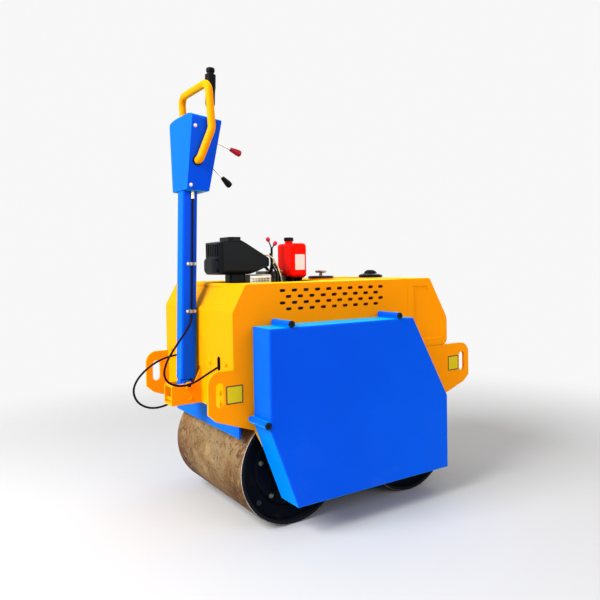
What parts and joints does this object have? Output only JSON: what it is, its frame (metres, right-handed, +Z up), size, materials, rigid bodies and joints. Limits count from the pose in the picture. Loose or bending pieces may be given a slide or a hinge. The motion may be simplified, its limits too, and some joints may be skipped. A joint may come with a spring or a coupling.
{
  "type": "walk-behind double-drum vibratory roller",
  "caption": "Hand-guided tandem roller: two smooth steel drums under a sheet-metal hood with a diesel engine, side covers and a fold-back tiller with levers.",
  "frame": {"origin": "on the ground midway between the two drum axles, on the machine's centre line", "axes": "+X forwards away from the tiller, +Y to the machine's left, +Z up"},
  "size_m": [1.3428, 0.888, 1.6806],
  "materials": {
    "frame_orange": "semi-gloss paint",
    "cover_blue": "satin paint",
    "drum_steel": "worn, lightly rusted steel",
    "drum_black": "satin paint",
    "engine_grey": "cast",
    "black_plastic": "moulded",
    "shield_silver": "pressed sheet",
    "tank_red": "gloss paint",
    "black_steel": "satin paint",
    "black_rubber": "matt",
    "red_plastic": "gloss",
    "gloss_black_plastic": "gloss",
    "bright_steel": "bright",
    "brass": "bright",
    "cable_black": "matt sheath"
  },
  "bodies": {
    "chassis": {"rear_axle_right": "black_steel", "rear_axle_left": "black_steel", "front_axle_right": "black_steel", "front_axle_left": "black_steel", "side_plate_right": "frame_orange", "side_plate_left": "frame_orange", "rear_cross_member": "frame_orange", "front_cross_member": "frame_orange", "deck_plate": "frame_orange", "hood": "frame_orange", "water_tank": "frame_orange", "tank_cap": "black_plastic", "oil_lid": "black_steel", "cover_right": "cover_blue", "cover_left": "cover_blue", "rear_scraper": "cover_blue", "front_scraper": "cover_blue", "engine_block": "engine_grey", "engine_head": "engine_grey", "air_cleaner": "black_plastic", "muffler_shield": "shield_silver", "fuel_bracket": "black_steel", "fuel_tank": "tank_red", "fuel_cap": "black_plastic", "tiller_bracket": "frame_orange", "fold_pin": "bright_steel", "right_cable": "cable_black", "left_cable": "cable_black", "cable_grommets": "black_rubber", "engine_stalk": "black_steel", "engine_knobs": "red_plastic"},
    "rear_drum": {"rear_drum_shell": "drum_steel", "rear_drum_ends": "drum_black"},
    "front_drum": {"front_drum_shell": "drum_steel", "front_drum_ends": "drum_black"},
    "tiller": {"tiller_column": "cover_blue", "control_box": "cover_blue", "handle_bar": "frame_orange", "bar_rings": "black_rubber", "travel_lever": "black_rubber", "vibration_lever": "red_plastic", "throttle_lever": "gloss_black_plastic", "cable_clips": "bright_steel", "cable_ferrule": "brass", "upper_cable": "cable_black"}
  },
  "joints": [
    {"name": "rear_drum_spin", "type": "hinge", "parent": "chassis", "child": "rear_drum", "pos_m": [-0.2775, 0, 0.2125], "axis": [0, 1, 0], "continuous": true},
    {"name": "front_drum_spin", "type": "hinge", "parent": "chassis", "child": "front_drum", "pos_m": [0.2775, 0, 0.2125], "axis": [0, 1, 0], "continuous": true},
    {"name": "tiller_fold", "type": "hinge", "parent": "chassis", "child": "tiller", "pos_m": [-0.568, 0, 0.5], "axis": [0, -1, 0], "range_deg": [0, 55], "deforming": ["right_cable"]}
  ]
}
